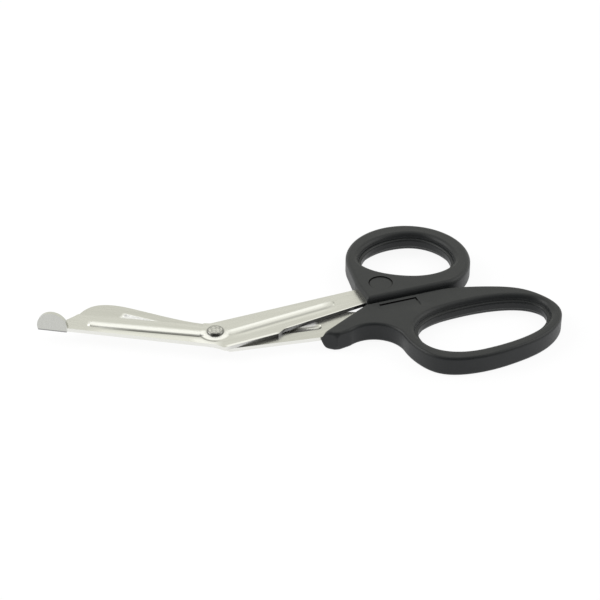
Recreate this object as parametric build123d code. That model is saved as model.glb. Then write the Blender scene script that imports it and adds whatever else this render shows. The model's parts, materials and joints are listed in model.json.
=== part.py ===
from build123d import *
import math
import os

# Bandage scissors: two stamped steel halves on a rivet, each moulded into a plastic handle.
# Millimetres, +Z up. The halves are drawn about the rivet, closed, with the plane in which
# they slide at zero, and the whole is set down on the table at the end.
# The guard half lies on top: foot, blade, tang and the small thumb handle.
# The humped half lies under it: blade, tang and the large finger handle.

# Plan directions, in degrees, and the line on which the two handles close
BLADE_SLOPE = -10.7         # the guard blade's back
GRIP_SLOPE = 20.5           # the closing line
CLOSING_OFFSET = 3.75       # the closing line passes this far to the near side of the rivet
HANDLE_GAP = 0.7            # between the two handles when closed

# Sheet steel
SHEET = 1.4                 # thickness of both halves
FACE_GAP = 0.06             # between their sliding faces
EDGE_LAND = 0.35            # thickness left at a ground cutting edge
GRIND_WIDTH = 1.5           # width of the ground bevel
CUT_OVERRUN = 2.0           # how far a cutting tool runs past the metal

# Guard half: the blade, measured from the rivet
GUARD_REACH = 52.9          # to the end of the blade, behind the foot
GUARD_BACK = 7.5            # across to the back
GUARD_EDGE_HEEL = 4.7       # across to the cutting edge beside the rivet
GUARD_EDGE_TIP = 3.5        # across to it at its end
GUARD_TIP_SHARE = 0.59      # the roundest place of the end: share of the width from the back
EDGE_START = 5.4            # along to where the cutting edge begins
EDGE_TO_TIP = 3.1           # from its end to the end of the blade
EDGE_END = GUARD_REACH - EDGE_TO_TIP
BACK_START = -1.6           # along to where the back turns towards the heel

# The foot: a disc folded up out of the sheet along the back
FOOT_RADIUS = 5.55
FOOT_AHEAD = 4.8            # from the blade's end to the disc's centre
FOOT_REACH = GUARD_REACH + FOOT_AHEAD
FOOT_RISE = 1.3             # height of the disc's centre above the underside
FOOT_DROP = 0.45            # the disc's straight edge lies this far below the underside
FOLD_RADIUS = 0.6           # inside radius of the fold
FOOT_SEAT = 0.5             # the sheet runs this far into the disc
NECK_LENGTH = 4.1           # how much more of the disc's foot is joined to the sheet

# Humped half: the blade, measured from the rivet
HUMP_REACH = 51.6           # to the point
HUMP_RISE = 11.8            # across to the top of the hump
HUMP_EDGE_HEEL = 5.4        # across to the cutting edge beside the rivet
HUMP_EDGE_TIP = 2.8         # across to the cutting edge at the point
# From the point over the hump to the rivet: shares of the reach and of the rise
HUMP_SHARES = ((1.0, -0.04), (0.981, 0.46), (0.922, 0.835), (0.806, 1.0), (0.647, 0.932),
               (0.285, 0.605), (0.11, 0.534))

# Tangs, measured from the rivet along and across the closing line
HEEL_DEPTH = 10.2           # the guard half's heel corner
STEP_START = 20.6           # where the guard tang's near edge steps in
STEP_LENGTH = 2.8
STEP_BEFORE = 8.7           # depth of that edge before the step
STEP_AFTER = 6.7            # and after it
THUMB_FRONT = 56.6          # front face of the thumb handle
THUMB_TANG_LOW = 1.4        # the guard tang's near edge at that face
THUMB_TANG_HIGH = 8.0       # its far edge there
SHOULDER = 5.8              # its far edge beside the rivet
HUMP_HEEL_ALONG = 2.4       # the humped half's heel corner
HUMP_HEEL_DEPTH = 9.6
NOSE_ALONG = 34.1           # the near corner of the finger handle's front, where it is furthest out
NOSE_DEPTH = 14.6
TANG_COVER = 0.5            # plastic beside the humped tang where it enters the nose
HUMP_SHOULDER = 5.0         # the humped tang's far edge beside the rivet
HUMP_WAIST = 2.5            # and over the guard tang's step
HUMP_TAPER_END = 44.0       # where that edge has come down to the closing line
TANG_INSERT = 15.0          # length of the guard tang inside its handle
HUMP_INSERT = 7.5           # the humped tang's end, past the thumb handle's front
HUMP_END_DROP = 3.0         # its far edge there, below the finger handle's closing edge
TANG_END_WIDTH = 5.4
ANCHOR_RADIUS = 1.5         # hole in the tang's end that the plastic fills
ANCHOR_ALONG = 64.1         # the hole in the guard tang
ANCHOR_ACROSS = 3.3
HUMP_ANCHOR_ALONG = 60.0    # the hole in the humped tang

# Pressed stiffening beads and the boss round the rivet
BEAD_HEIGHT = 0.6
BEAD_HALF = 1.5             # half the width of the blade beads
TANG_BEAD_HALF = 1.8        # half the width of the tang beads
BLADE_BEAD_START = 4.2      # along the blade
BEAD_TO_TIP = 8.4           # from its end to the end of the blade
BLADE_BEAD_END = GUARD_REACH - BEAD_TO_TIP
BLADE_BEAD_NEAR = 2.1       # across, at its start
BLADE_BEAD_FAR = 3.5        # across, at its end
TANG_BEAD_START = 4.6       # along the closing line
TANG_BEAD_END = 44.5
TANG_BEAD_NEAR = -2.1       # across, at its start
TANG_BEAD_FAR = 2.5         # across, at its end
HUMP_BEAD_START = 8.6       # along the blade, parallel to the hump's back
HUMP_BEAD_TO_POINT = 17.4   # from its end to the point
HUMP_BEAD_END = HUMP_REACH - HUMP_BEAD_TO_POINT
HUMP_BEAD_NEAR = 0.1        # across, at its start
HUMP_BEAD_FAR = 5.45        # across, at its end
HUMP_TANG_BEAD_END = 35.4   # along the closing line
HUMP_TANG_BEAD_NEAR = -3.6  # across, at its start
HUMP_TANG_BEAD_FAR = -7.6   # across, at its end
BEAD_BLEND = 0.8            # soft root of a bead
BOSS_RADIUS = 5.5           # at its root
BOSS_TOP_RADIUS = 4.4       # at its top
BOSS_HEIGHT = 0.3

# Rivet
SHANK_RADIUS = 1.9
RUNNING_CLEARANCE = 0.05    # radial, in the half that turns
SEAT_CLEARANCE = 0.02       # radial, in the half that holds the rivet
HEAD_RADIUS = 2.9
HEAD_HEIGHT = 0.8
HEAD_CHAMFER = 0.25
TAIL_RADIUS = 2.6
TAIL_HEIGHT = 0.7
TAIL_CHAMFER = 0.3

# Both handles
HANDLE_HEIGHT = 7.6
RIM_ROUND = 1.9             # rounding of a hole's rims
GROOVE_DEPTH = 2.1          # from a flat face to the crease under its rim
RIDGE_BULGE = 1.1           # how far the ridge between the creases stands into the hole
RIDGE_ROUND = 0.8           # rounding of the ridge
NEAR_ENOUGH = 0.05          # an edge this close to a place is taken to lie on it
CORNER_ROUND = 1.0          # upright corners
THUMB_ROUND = 1.6           # rounding between the flat faces and the sides, thumb handle
FINGER_ROUND = 1.1          # the same on the finger handle's upper side
UNDER_ROUND = 1.4           # and on its underside
RECESS_DEPTH = 0.3          # depth of the two bare label recesses
LOOP_POINTS = 24            # points through which a hole's curve is drawn

# Thumb handle: places along and across the closing line
THUMB_FRONT_HIGH = 8.6      # top of the front face
THUMB_RING_RADIUS = 23.2
THUMB_NECK = 1.6            # from the front face to the ring's limit
THUMB_SINK = 2.1            # what the closing edge takes off the ring
THUMB_RING_ALONG = THUMB_FRONT + THUMB_NECK + THUMB_RING_RADIUS
THUMB_RING_ACROSS = HANDLE_GAP / 2 - CLOSING_OFFSET + THUMB_RING_RADIUS - THUMB_SINK
THUMB_BLEND = 12.0          # where the closing edge runs into the ring
THUMB_WALL_LEFT = 3.2       # the ring's radius less the hole's reach to each side
THUMB_WALL_RIGHT = 7.7
THUMB_WALL_NEAR = 12.3
THUMB_WALL_FAR = 5.8
THUMB_HOLE_ALONG = 1.2      # the hole's widest places lie this far from the ring's centre
THUMB_HOLE_ACROSS = -1.4
THUMB_HOLE_TILT = -20.0     # degrees, from the closing line
THUMB_HOLE_FULLNESS = 1.9   # 2 is an oval, more is squarer
THUMB_RECESS_RADIUS = 4.45
THUMB_RECESS_SETBACK = 8.5  # from the front face to its centre
THUMB_RECESS_ACROSS = 4.8

# Finger handle: places along and across the closing line
FRONT_END = 53.4            # where the front face meets the closing edge
FRONT_BEVEL = 1.55          # the front slopes back this far towards both flat faces
FRONT_LAND = 1.0            # height of its upright middle
FRONT_OVERRUN = 6.0         # how far the bevel is cut past its ends
CHIN_ALONG = 39.0           # the corner under the front face
CHIN_DEPTH = 18.6
LOOP_LEFT = 60.9            # the loop's outer limits
LOOP_LENGTH = 59.8
LOOP_NEAR = 48.4
SCOOP_RADIUS = 11.1         # hollow for the first finger, in front of the loop
SCOOP_DEPTH = 27.4          # across, to its centre
SCOOP_START = 118.0         # the angle at which it begins, in degrees
CLOSING_EDGE_END = 84.0     # where the straight closing edge ends
# From the hollow round the loop: shares of its length and of its width
LOOP_SHARES = ((0.017, 0.31), (0.095, 0.11), (0.306, 0.0), (0.593, 0.022), (0.855, 0.15),
               (0.995, 0.41), (0.953, 0.632), (0.86, 0.785), (0.728, 0.882),
               (0.57, 0.955))
HOLE_ALONG_SHARE = 0.42     # the hole's widest places: shares of the loop's length and width
HOLE_ACROSS_SHARE = 0.4515
FINGER_WALL_LEFT = 4.7      # from the loop's outer limits to the hole
FINGER_WALL_RIGHT = 4.3
FINGER_WALL_NEAR = 4.9
FINGER_WALL_FAR = 11.1
FINGER_HOLE_TILT = 2.4      # degrees, from the closing line
FINGER_HOLE_FULLNESS = 2.3  # 2 is an oval, more is squarer
POCKET_LENGTH = 14.4        # rectangular recess
POCKET_WIDTH = 5.2
POCKET_ALONG = 59.9
POCKET_EDGE = 2.2           # its distance from the closing edge


def turned(slope, along, across):
    """A plan point from a distance along and across a line through the rivet."""
    turn = math.radians(slope)
    return (along * math.cos(turn) - across * math.sin(turn),
            along * math.sin(turn) + across * math.cos(turn))


def on_blade(reach, across):
    """A plan point of the blades: reach runs to the tip, across towards the hump."""
    return turned(BLADE_SLOPE, -reach, across)


def on_guard_edge(reach):
    """A plan point of the guard blade's cutting edge, or of its straight run past the ends."""
    share = (reach - EDGE_START) / (EDGE_END - EDGE_START)
    return on_blade(reach, GUARD_EDGE_HEEL + share * (GUARD_EDGE_TIP - GUARD_EDGE_HEEL))


def on_grip(along, across):
    """A plan point of the tangs and handles, along and across the closing line."""
    return turned(GRIP_SLOPE, along, across)


def slab(outline, bottom, height):
    """A closed plan outline made into a plate."""
    return Pos(0, 0, bottom) * extrude(make_face(outline), height)


def bead(start, end, half_width, height):
    """A pressed bead on the plane at zero: part of a cylinder with ball ends."""
    radius = (half_width ** 2 + height ** 2) / (2 * height)
    run = Vector(*end) - Vector(*start)
    middle = (Vector(*start) + Vector(*end)) / 2
    turn = math.degrees(math.atan2(run.Y, run.X))
    sink = height - radius
    rod = Pos(middle.X, middle.Y, sink) * Rot(0, 0, turn) * Rot(0, 90, 0) * Cylinder(
        radius, run.length)
    balls = [Pos(x, y, sink) * Sphere(radius) for x, y in (start, end)]
    length = run.length + 2 * radius
    keep = Pos(middle.X, middle.Y, (height - SHEET / 2) / 2) * Rot(0, 0, turn) * Box(
        length, 2 * radius, height + SHEET / 2)
    return (rod + balls[0] + balls[1]) & keep


def pressed(plate, beads):
    """Press beads into a plate that lies on zero: hollow below, raised above."""
    for start, end, half_width in beads:
        form = bead(start, end, half_width, BEAD_HEIGHT)
        raised = Pos(0, 0, SHEET) * form
        plate = plate + raised
        plate = fillet([edge for edge in plate.edges()
                        if abs(edge.center().Z - SHEET) < BEAD_HEIGHT / 4
                        and abs((edge @ 0).Z - SHEET) < BEAD_HEIGHT / 4
                        and raised.distance_to(edge.center()) < BEAD_HEIGHT / 4], BEAD_BLEND)
        plate = plate - (form & Pos(0, 0, SHEET / 2) * Box(
            4 * GUARD_REACH, 4 * GUARD_REACH, SHEET))
    return plate


def wedge(start, end, top, width, drop, overrun=0):
    """What a bevel takes off along a line that has the material on its right."""
    run = Vector(*end) - Vector(*start)
    line = Plane(origin=(*start, 0), x_dir=(run.X, run.Y, 0), z_dir=(0, 0, 1))
    section = Polyline((-overrun, -width, top),
                       (-overrun, CUT_OVERRUN, top - drop * (width + CUT_OVERRUN) / width),
                       (-overrun, CUT_OVERRUN, top + CUT_OVERRUN),
                       (-overrun, -width, top + CUT_OVERRUN), close=True)
    return line * extrude(make_face(section), run.length + 2 * overrun, dir=(1, 0, 0))


def ground(plate, start, end):
    """Grind a cutting edge: a bevel on the upper face that leaves a narrow land."""
    return plate - wedge(start, end, SHEET, GRIND_WIDTH, SHEET - EDGE_LAND)


def with_boss(plate):
    """The low round boss round the rivet, with a sloping rim."""
    return plate + Pos(0, 0, SHEET + BOSS_HEIGHT / 2) * Cone(
        BOSS_RADIUS, BOSS_TOP_RADIUS, BOSS_HEIGHT)


def bored(plate, clearance):
    """The rivet's hole."""
    return plate - Cylinder(SHANK_RADIUS + clearance, 4 * SHEET)


def guard_tang_points():
    """The guard tang from the heel round its end to the shoulder."""
    end = THUMB_FRONT + TANG_INSERT
    low = (THUMB_TANG_HIGH - THUMB_TANG_LOW - TANG_END_WIDTH) / 2
    return [on_grip(0, -HEEL_DEPTH),
            on_grip(STEP_START, -STEP_BEFORE),
            on_grip(STEP_START + STEP_LENGTH, -STEP_AFTER),
            on_grip(THUMB_FRONT, -THUMB_TANG_LOW),
            on_grip(end, low),
            on_grip(end, low + TANG_END_WIDTH),
            on_grip(THUMB_FRONT, THUMB_TANG_HIGH),
            on_grip(0, SHOULDER)]


def guard_outline():
    """The guard half's flat outline, without the folded foot."""
    fold = SHEET - GUARD_BACK + FOLD_RADIUS
    foot_start = FOOT_REACH - FOOT_RADIUS + FOOT_SEAT
    neck_end = on_blade(foot_start + NECK_LENGTH, fold)
    width = GUARD_BACK + GUARD_EDGE_TIP
    tip = Spline(on_guard_edge(EDGE_END),
                 on_blade(GUARD_REACH, GUARD_TIP_SHARE * width - GUARD_BACK),
                 neck_end)
    rest = Polyline(neck_end,
                    on_blade(foot_start, fold),
                    on_blade(foot_start, -GUARD_BACK),
                    on_blade(BACK_START, -GUARD_BACK),
                    *guard_tang_points(),
                    on_guard_edge(EDGE_START),
                    on_guard_edge(EDGE_END))
    return Wire([*tip.edges(), *rest.edges()])


def foot():
    """The foot: the sheet's section turned up along the back, trimmed to a disc."""
    inner = SHEET - GUARD_BACK
    fold = inner + FOLD_RADIUS
    top = FOOT_RISE + FOOT_RADIUS + CUT_OVERRUN
    profile = [Line((fold, 0), (fold, SHEET)),
               RadiusArc((fold, SHEET), (inner, SHEET + FOLD_RADIUS), FOLD_RADIUS),
               Line((inner, SHEET + FOLD_RADIUS), (inner, top)),
               Line((inner, top), (-GUARD_BACK, top)),
               Line((-GUARD_BACK, top), (-GUARD_BACK, -FOOT_DROP)),
               Line((-GUARD_BACK, -FOOT_DROP), (inner, -FOOT_DROP)),
               Line((inner, -FOOT_DROP), (inner, 0)),
               Line((inner, 0), (fold, 0))]
    across = Plane(origin=(0, 0, 0), x_dir=(0, 1, 0), z_dir=(1, 0, 0))
    strip = across * extrude(make_face(profile), -FOOT_REACH - 2 * FOOT_RADIUS)
    disc = Pos(-FOOT_REACH, -GUARD_BACK, FOOT_RISE) * Rot(90, 0, 0) * Cylinder(
        FOOT_RADIUS, 4 * SHEET)
    return Rot(0, 0, BLADE_SLOPE) * (strip & disc)


def anchored(plate, along, across):
    """The anchor hole in a tang's end."""
    x, y = on_grip(along, across)
    return plate - Pos(x, y, 0) * Cylinder(ANCHOR_RADIUS, 4 * SHEET)


def guard_sheet():
    """The guard half, with its underside at zero."""
    plate = slab(guard_outline(), 0, SHEET)
    plate = ground(plate, on_guard_edge(EDGE_END + CUT_OVERRUN), on_guard_edge(EDGE_START))
    plate = pressed(plate, [
        (on_blade(BLADE_BEAD_START, -BLADE_BEAD_NEAR),
         on_blade(BLADE_BEAD_END, -BLADE_BEAD_FAR), BEAD_HALF),
        (on_grip(TANG_BEAD_START, TANG_BEAD_NEAR),
         on_grip(TANG_BEAD_END, TANG_BEAD_FAR), TANG_BEAD_HALF)])
    plate = anchored(with_boss(plate), ANCHOR_ALONG, ANCHOR_ACROSS)
    return bored(plate, RUNNING_CLEARANCE) + foot()


def hump_outline():
    """The humped half's flat outline."""
    back = Spline(*[on_blade(along * HUMP_REACH, across * HUMP_RISE)
                    for along, across in HUMP_SHARES])
    edge = -CLOSING_OFFSET - HANDLE_GAP / 2
    end = THUMB_FRONT + HUMP_INSERT
    rest = Polyline(back @ 1,
                    on_grip(HUMP_HEEL_ALONG, HUMP_SHOULDER),
                    on_grip(STEP_START, HUMP_WAIST),
                    on_grip(HUMP_TAPER_END, edge),
                    on_grip(FRONT_END, edge),
                    on_grip(THUMB_FRONT, edge - TANG_COVER),
                    on_grip(end, edge - HUMP_END_DROP),
                    on_grip(end, edge - HUMP_END_DROP - TANG_END_WIDTH),
                    on_grip(NOSE_ALONG, -NOSE_DEPTH + TANG_COVER),
                    on_grip(HUMP_HEEL_ALONG, -HUMP_HEEL_DEPTH),
                    on_blade(0, -HUMP_EDGE_HEEL),
                    on_blade(HUMP_REACH, -HUMP_EDGE_TIP),
                    back @ 0)
    return Wire([*back.edges(), *rest.edges()])


def hump_sheet():
    """The humped half as its punch sees it: the sliding face at zero, the beads upwards."""
    plate = slab(hump_outline(), 0, SHEET)
    plate = ground(plate, on_blade(0, -HUMP_EDGE_HEEL), on_blade(HUMP_REACH, -HUMP_EDGE_TIP))
    plate = pressed(plate, [
        (on_blade(HUMP_BEAD_START, HUMP_BEAD_NEAR),
         on_blade(HUMP_BEAD_END, HUMP_BEAD_FAR), BEAD_HALF),
        (on_grip(TANG_BEAD_START, HUMP_TANG_BEAD_NEAR),
         on_grip(HUMP_TANG_BEAD_END, HUMP_TANG_BEAD_FAR), TANG_BEAD_HALF)])
    edge = -CLOSING_OFFSET - HANDLE_GAP / 2
    plate = anchored(with_boss(plate), HUMP_ANCHOR_ALONG, edge - HUMP_END_DROP - TANG_END_WIDTH / 2)
    return bored(plate, SEAT_CLEARANCE)


def rivet():
    """The rivet: a flat chamfered head above, the shank and the peened tail below."""
    face = FACE_GAP / 2 + SHEET + BOSS_HEIGHT
    top = face + SEAT_CLEARANCE
    head = Pos(0, 0, top + HEAD_HEIGHT / 2) * Cylinder(HEAD_RADIUS, HEAD_HEIGHT)
    head = chamfer(head.edges().group_by(Axis.Z)[-1], HEAD_CHAMFER)
    tail = Pos(0, 0, -face - TAIL_HEIGHT / 2) * Cylinder(TAIL_RADIUS, TAIL_HEIGHT)
    tail = chamfer(tail.edges().group_by(Axis.Z)[0], TAIL_CHAMFER)
    shank = Pos(0, 0, (top - face) / 2) * Cylinder(SHANK_RADIUS, top + face)
    return head + shank + tail


def oval(along, across, reach, tilt, fullness):
    """A rounded oval with its own reach to the left, right, near and far side."""
    left, right, near, far = reach
    points = []
    for step in range(LOOP_POINTS):
        angle = 2 * math.pi * step / LOOP_POINTS
        c = math.cos(angle)
        s = math.sin(angle)
        x = (right if c > 0 else left) * math.copysign(abs(c) ** (2 / fullness), c)
        y = (far if s > 0 else near) * math.copysign(abs(s) ** (2 / fullness), s)
        place = turned(tilt, x, y)
        points.append(on_grip(along + place[0], across + place[1]))
    return make_face(Spline(*points, periodic=True))


def thumb_hole(inset):
    """The thumb hole's outline, inset from the creases under its rims."""
    walls = (THUMB_WALL_LEFT, THUMB_WALL_RIGHT, THUMB_WALL_NEAR, THUMB_WALL_FAR)
    reach = [THUMB_RING_RADIUS - wall - inset for wall in walls]
    return oval(THUMB_RING_ALONG + THUMB_HOLE_ALONG, THUMB_RING_ACROSS + THUMB_HOLE_ACROSS,
                reach, THUMB_HOLE_TILT, THUMB_HOLE_FULLNESS)


def finger_hole(inset):
    """The finger hole's outline, inset from the creases under its rims."""
    width = LOOP_NEAR - CLOSING_OFFSET - HANDLE_GAP / 2
    left = LOOP_LENGTH * HOLE_ALONG_SHARE
    near = width * HOLE_ACROSS_SHARE
    reach = [left - FINGER_WALL_LEFT - inset,
             LOOP_LENGTH - left - FINGER_WALL_RIGHT - inset,
             near - FINGER_WALL_NEAR - inset,
             width - near - FINGER_WALL_FAR - inset]
    return oval(LOOP_LEFT + left, near - LOOP_NEAR, reach, FINGER_HOLE_TILT,
                FINGER_HOLE_FULLNESS)


def edges_along(form, cut, height):
    """The edges of a form that a cut left at a height above and below zero."""
    return [edge for edge in form.edges()
            if abs(abs(edge.center().Z) - height) < NEAR_ENOUGH
            and abs(abs((edge @ 0).Z) - height) < NEAR_ENOUGH
            and cut.distance_to(edge @ 0) < NEAR_ENOUGH]


def with_hole(form, hole, outline, side_round):
    """Cut a handle's hole: two rounded rims, a crease under each and a ridge between them."""
    wall = outline.faces()[0].outer_wire().distance_to(hole(0))
    through = extrude(hole(RIDGE_BULGE), HANDLE_HEIGHT, both=True)
    crease = HANDLE_HEIGHT / 2 - GROOVE_DEPTH
    above = Pos(0, 0, crease) * extrude(hole(0), HANDLE_HEIGHT)
    below = mirror(above, Plane.XY)
    form = form - through - above - below
    form = fillet(edges_along(form, through, crease), RIDGE_ROUND)
    rims = edges_along(form, above + below, HANDLE_HEIGHT / 2)
    return fillet(rims, min(RIM_ROUND, wall - side_round - NEAR_ENOUGH))


def flat_edges(form):
    """The edges round a form's two flat faces."""
    levels = form.edges().group_by(Axis.Z)
    return levels[0] + levels[-1]


def thumb_form():
    """The thumb handle before its hole: a round ring drawn out to the front face."""
    centre = Vector(THUMB_RING_ALONG, THUMB_RING_ACROSS)
    low = -CLOSING_OFFSET + HANDLE_GAP / 2
    high = Vector(THUMB_FRONT, THUMB_FRONT_HIGH)
    away = high - centre
    lean = math.acos(THUMB_RING_RADIUS / away.length)
    touch = math.atan2(away.Y, away.X) - lean
    on_ring = [on_grip(centre.X + THUMB_RING_RADIUS * math.cos(angle),
                       centre.Y + THUMB_RING_RADIUS * math.sin(angle))
               for angle in (touch, math.pi / 4)]
    half_chord = math.sqrt(THUMB_RING_RADIUS ** 2 - (centre.Y - low) ** 2)
    closing_end = on_grip(centre.X + half_chord, low)
    front_low = on_grip(THUMB_FRONT, low)
    front_high = on_grip(high.X, high.Y)
    face = make_face([Line(front_low, front_high),
                      Line(front_high, on_ring[0]),
                      ThreePointArc(on_ring[0], on_ring[1], closing_end),
                      Line(closing_end, front_low)])
    return face, closing_end


def thumb_handle(tang):
    """The thumb handle, moulded round the guard tang."""
    face, closing_end = thumb_form()
    blend = face.vertices().sort_by_distance(closing_end)[0]
    face = fillet(blend, THUMB_BLEND)
    fronts = [face.vertices().sort_by_distance(on_grip(THUMB_FRONT, across))[0]
              for across in (-CLOSING_OFFSET, THUMB_FRONT_HIGH)]
    face = fillet(fronts, CORNER_ROUND)
    form = extrude(face, HANDLE_HEIGHT / 2, both=True)
    form = fillet(flat_edges(form), THUMB_ROUND)
    form = with_hole(form, thumb_hole, face, THUMB_ROUND)
    x, y = on_grip(THUMB_FRONT + THUMB_RECESS_SETBACK, THUMB_RECESS_ACROSS)
    recess = Pos(x, y, HANDLE_HEIGHT / 2) * Cylinder(THUMB_RECESS_RADIUS, 2 * RECESS_DEPTH)
    form = form - recess
    return Pos(0, 0, (FACE_GAP + SHEET) / 2) * form - tang


def finger_form():
    """The finger handle before its hole: nose, hollow and loop in one outline."""
    edge = -CLOSING_OFFSET - HANDLE_GAP / 2
    width = LOOP_NEAR + edge
    scoop = Vector(LOOP_LEFT - SCOOP_RADIUS, -SCOOP_DEPTH)
    start, crown = [on_grip(scoop.X + SCOOP_RADIUS * math.cos(math.radians(angle)),
                            scoop.Y + SCOOP_RADIUS * math.sin(math.radians(angle)))
                    for angle in (SCOOP_START, SCOOP_START / 2)]
    beside = on_grip(LOOP_LEFT, -SCOOP_DEPTH)
    loop = [on_grip(LOOP_LEFT + along * LOOP_LENGTH, -LOOP_NEAR + across * width)
            for along, across in LOOP_SHARES]
    closing_end = on_grip(CLOSING_EDGE_END, edge)
    front_high = on_grip(FRONT_END, edge)
    front_low = on_grip(NOSE_ALONG, -NOSE_DEPTH)
    chin = on_grip(CHIN_ALONG, -CHIN_DEPTH)
    face = make_face([Line(front_high, front_low),
                      Line(front_low, chin),
                      Line(chin, start),
                      ThreePointArc(start, crown, beside),
                      Spline(beside, *loop, closing_end,
                             tangents=[on_grip(0, -1), on_grip(-1, 0)], tangent_scalars=[1, 1]),
                      Line(closing_end, front_high)])
    return face, (front_high, front_low, chin)


def finger_handle(tang):
    """The finger handle, moulded round the humped half's tang."""
    face, corners = finger_form()
    front_high, front_low, chin = corners
    face = fillet(face.vertices().sort_by_distance(chin)[0], CORNER_ROUND)
    form = extrude(face, HANDLE_HEIGHT / 2, both=True)
    bevel = wedge(front_low, front_high, HANDLE_HEIGHT / 2, FRONT_BEVEL,
                  (HANDLE_HEIGHT - FRONT_LAND) / 2, FRONT_OVERRUN)
    form = form - bevel - mirror(bevel, Plane.XY)
    form = fillet(form.edges().group_by(Axis.Z)[-1], FINGER_ROUND)
    form = fillet(form.edges().group_by(Axis.Z)[0], UNDER_ROUND)
    form = with_hole(form, finger_hole, face, max(FINGER_ROUND, UNDER_ROUND))
    edge = -CLOSING_OFFSET - HANDLE_GAP / 2
    x, y = on_grip(POCKET_ALONG + POCKET_LENGTH / 2, edge - POCKET_EDGE - POCKET_WIDTH / 2)
    pocket = Pos(x, y, HANDLE_HEIGHT / 2) * Rot(0, 0, GRIP_SLOPE) * Box(
        POCKET_LENGTH, POCKET_WIDTH, 2 * RECESS_DEPTH)
    form = form - pocket
    return Pos(0, 0, -(FACE_GAP + SHEET) / 2) * form - tang


def scissors():
    """Every piece in its place about the rivet."""
    guard = Pos(0, 0, FACE_GAP / 2) * guard_sheet()
    hump = mirror(Pos(0, 0, FACE_GAP / 2) * hump_sheet(), Plane.XY)
    return {"guard_blade": guard,
            "humped_blade": hump,
            "pivot_rivet": rivet(),
            "thumb_handle": thumb_handle(guard),
            "finger_handle": finger_handle(hump)}


pieces = scissors()
box = Compound([solid for piece in pieces.values() for solid in piece.solids()]).bounding_box()
set_down = Pos(-box.center().X, -box.center().Y, -box.min.Z)
os.makedirs("parts", exist_ok=True)
for name, piece in pieces.items():
    export_step(set_down * piece, "parts/" + name + ".step")
print("rivet axis at", set_down.position.X, set_down.position.Y,
      "and sliding plane at", set_down.position.Z)
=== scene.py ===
# %% [markdown]
# # Bandage scissors
# The scissors lie closed on a white table. The frame that is loaded here already holds every solid in its
# exact place, in metres. This lesson adds what a solid doesn't have: softened metal edges, brushed steel,
# black moulded plastic, a rivet turned from a profile, light and a camera.

# %% Load the frame
import json
import math

import bmesh
import bpy
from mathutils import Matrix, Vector


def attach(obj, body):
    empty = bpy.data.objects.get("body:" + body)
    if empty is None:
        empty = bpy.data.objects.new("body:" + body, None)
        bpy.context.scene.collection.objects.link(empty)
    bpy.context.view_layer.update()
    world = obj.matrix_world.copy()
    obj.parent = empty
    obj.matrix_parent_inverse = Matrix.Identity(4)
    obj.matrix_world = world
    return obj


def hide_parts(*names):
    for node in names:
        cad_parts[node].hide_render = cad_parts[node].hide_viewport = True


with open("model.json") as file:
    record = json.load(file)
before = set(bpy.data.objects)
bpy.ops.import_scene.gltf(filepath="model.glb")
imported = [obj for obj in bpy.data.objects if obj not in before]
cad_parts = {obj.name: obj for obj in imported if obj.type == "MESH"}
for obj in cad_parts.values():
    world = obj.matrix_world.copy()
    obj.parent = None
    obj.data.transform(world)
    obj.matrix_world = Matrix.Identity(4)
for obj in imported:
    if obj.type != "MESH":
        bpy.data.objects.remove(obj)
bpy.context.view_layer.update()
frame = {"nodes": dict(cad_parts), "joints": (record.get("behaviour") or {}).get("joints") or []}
MM = 0.001
pivot = Vector(frame["joints"][0]["pos_m"])

# %% [markdown]
# ## Small helpers
# A material is a graph of nodes. Writing `node(tree, kind, Socket=value)` for each keeps the recipes short
# enough to read. Lengths inside a material are metres, because Object coordinates are.

# %% Helpers for node graphs
NOISE_RANGE = (0.3, 0.7)    # nearly all of a noise's values lie here


def feed(tree, socket, value):
    """Set an input, or link it when the value is another node's output."""
    if isinstance(value, bpy.types.NodeSocket):
        tree.links.new(value, socket)
    else:
        socket.default_value = value


def node(tree, kind, **inputs):
    """Add a node; each keyword feeds the input of that name."""
    made = tree.nodes.new(kind)
    for name, value in inputs.items():
        feed(tree, made.inputs[name.replace("_", " ")], value)
    return made


def maths(tree, operation, *values):
    """One calculation on values or sockets; Geometry Nodes take it too."""
    made = tree.nodes.new("ShaderNodeMath")
    made.operation = operation
    for socket, value in zip(made.inputs, values):
        feed(tree, socket, value)
    return made.outputs[0]


def vector_maths(tree, operation, *values):
    """One calculation on vectors; returns its outputs, a vector and a value."""
    made = tree.nodes.new("ShaderNodeVectorMath")
    made.operation = operation
    for socket, value in zip(made.inputs, values):
        feed(tree, socket, value)
    return made.outputs


def spread(tree, factor, low, high, start, end):
    """Turn a grey factor between start and end into a value between low and high."""
    made = node(tree, "ShaderNodeMapRange", Value=factor)
    for name, value in (("From Min", start), ("From Max", end), ("To Min", low), ("To Max", high)):
        made.inputs[name].default_value = value
    return made.outputs["Result"]


def mix_values(tree, factor, first, second):
    """Mix two grey values by a factor."""
    made = tree.nodes.new("ShaderNodeMix")
    for place, value in ((0, factor), (2, first), (3, second)):
        feed(tree, made.inputs[place], value)
    return made.outputs[0]


def blend_colours(tree, factor, first, second):
    """Mix two colours by a factor."""
    made = tree.nodes.new("ShaderNodeMix")
    made.data_type = "RGBA"
    feed(tree, made.inputs[0], factor)
    for place, colour in ((6, first), (7, second)):
        feed(tree, made.inputs[place], (*colour, 1) if isinstance(colour, tuple) else colour)
    return made.outputs[2]


def grain(tree, coordinates, detail, roughness):
    """Noise over coordinates that already have their scale."""
    return node(tree, "ShaderNodeTexNoise", Vector=coordinates, Scale=1.0, Detail=detail,
                Roughness=roughness).outputs["Fac"]


def parts_of(tree, vector):
    """The three parts of a vector."""
    return node(tree, "ShaderNodeSeparateXYZ", Vector=vector).outputs


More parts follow.
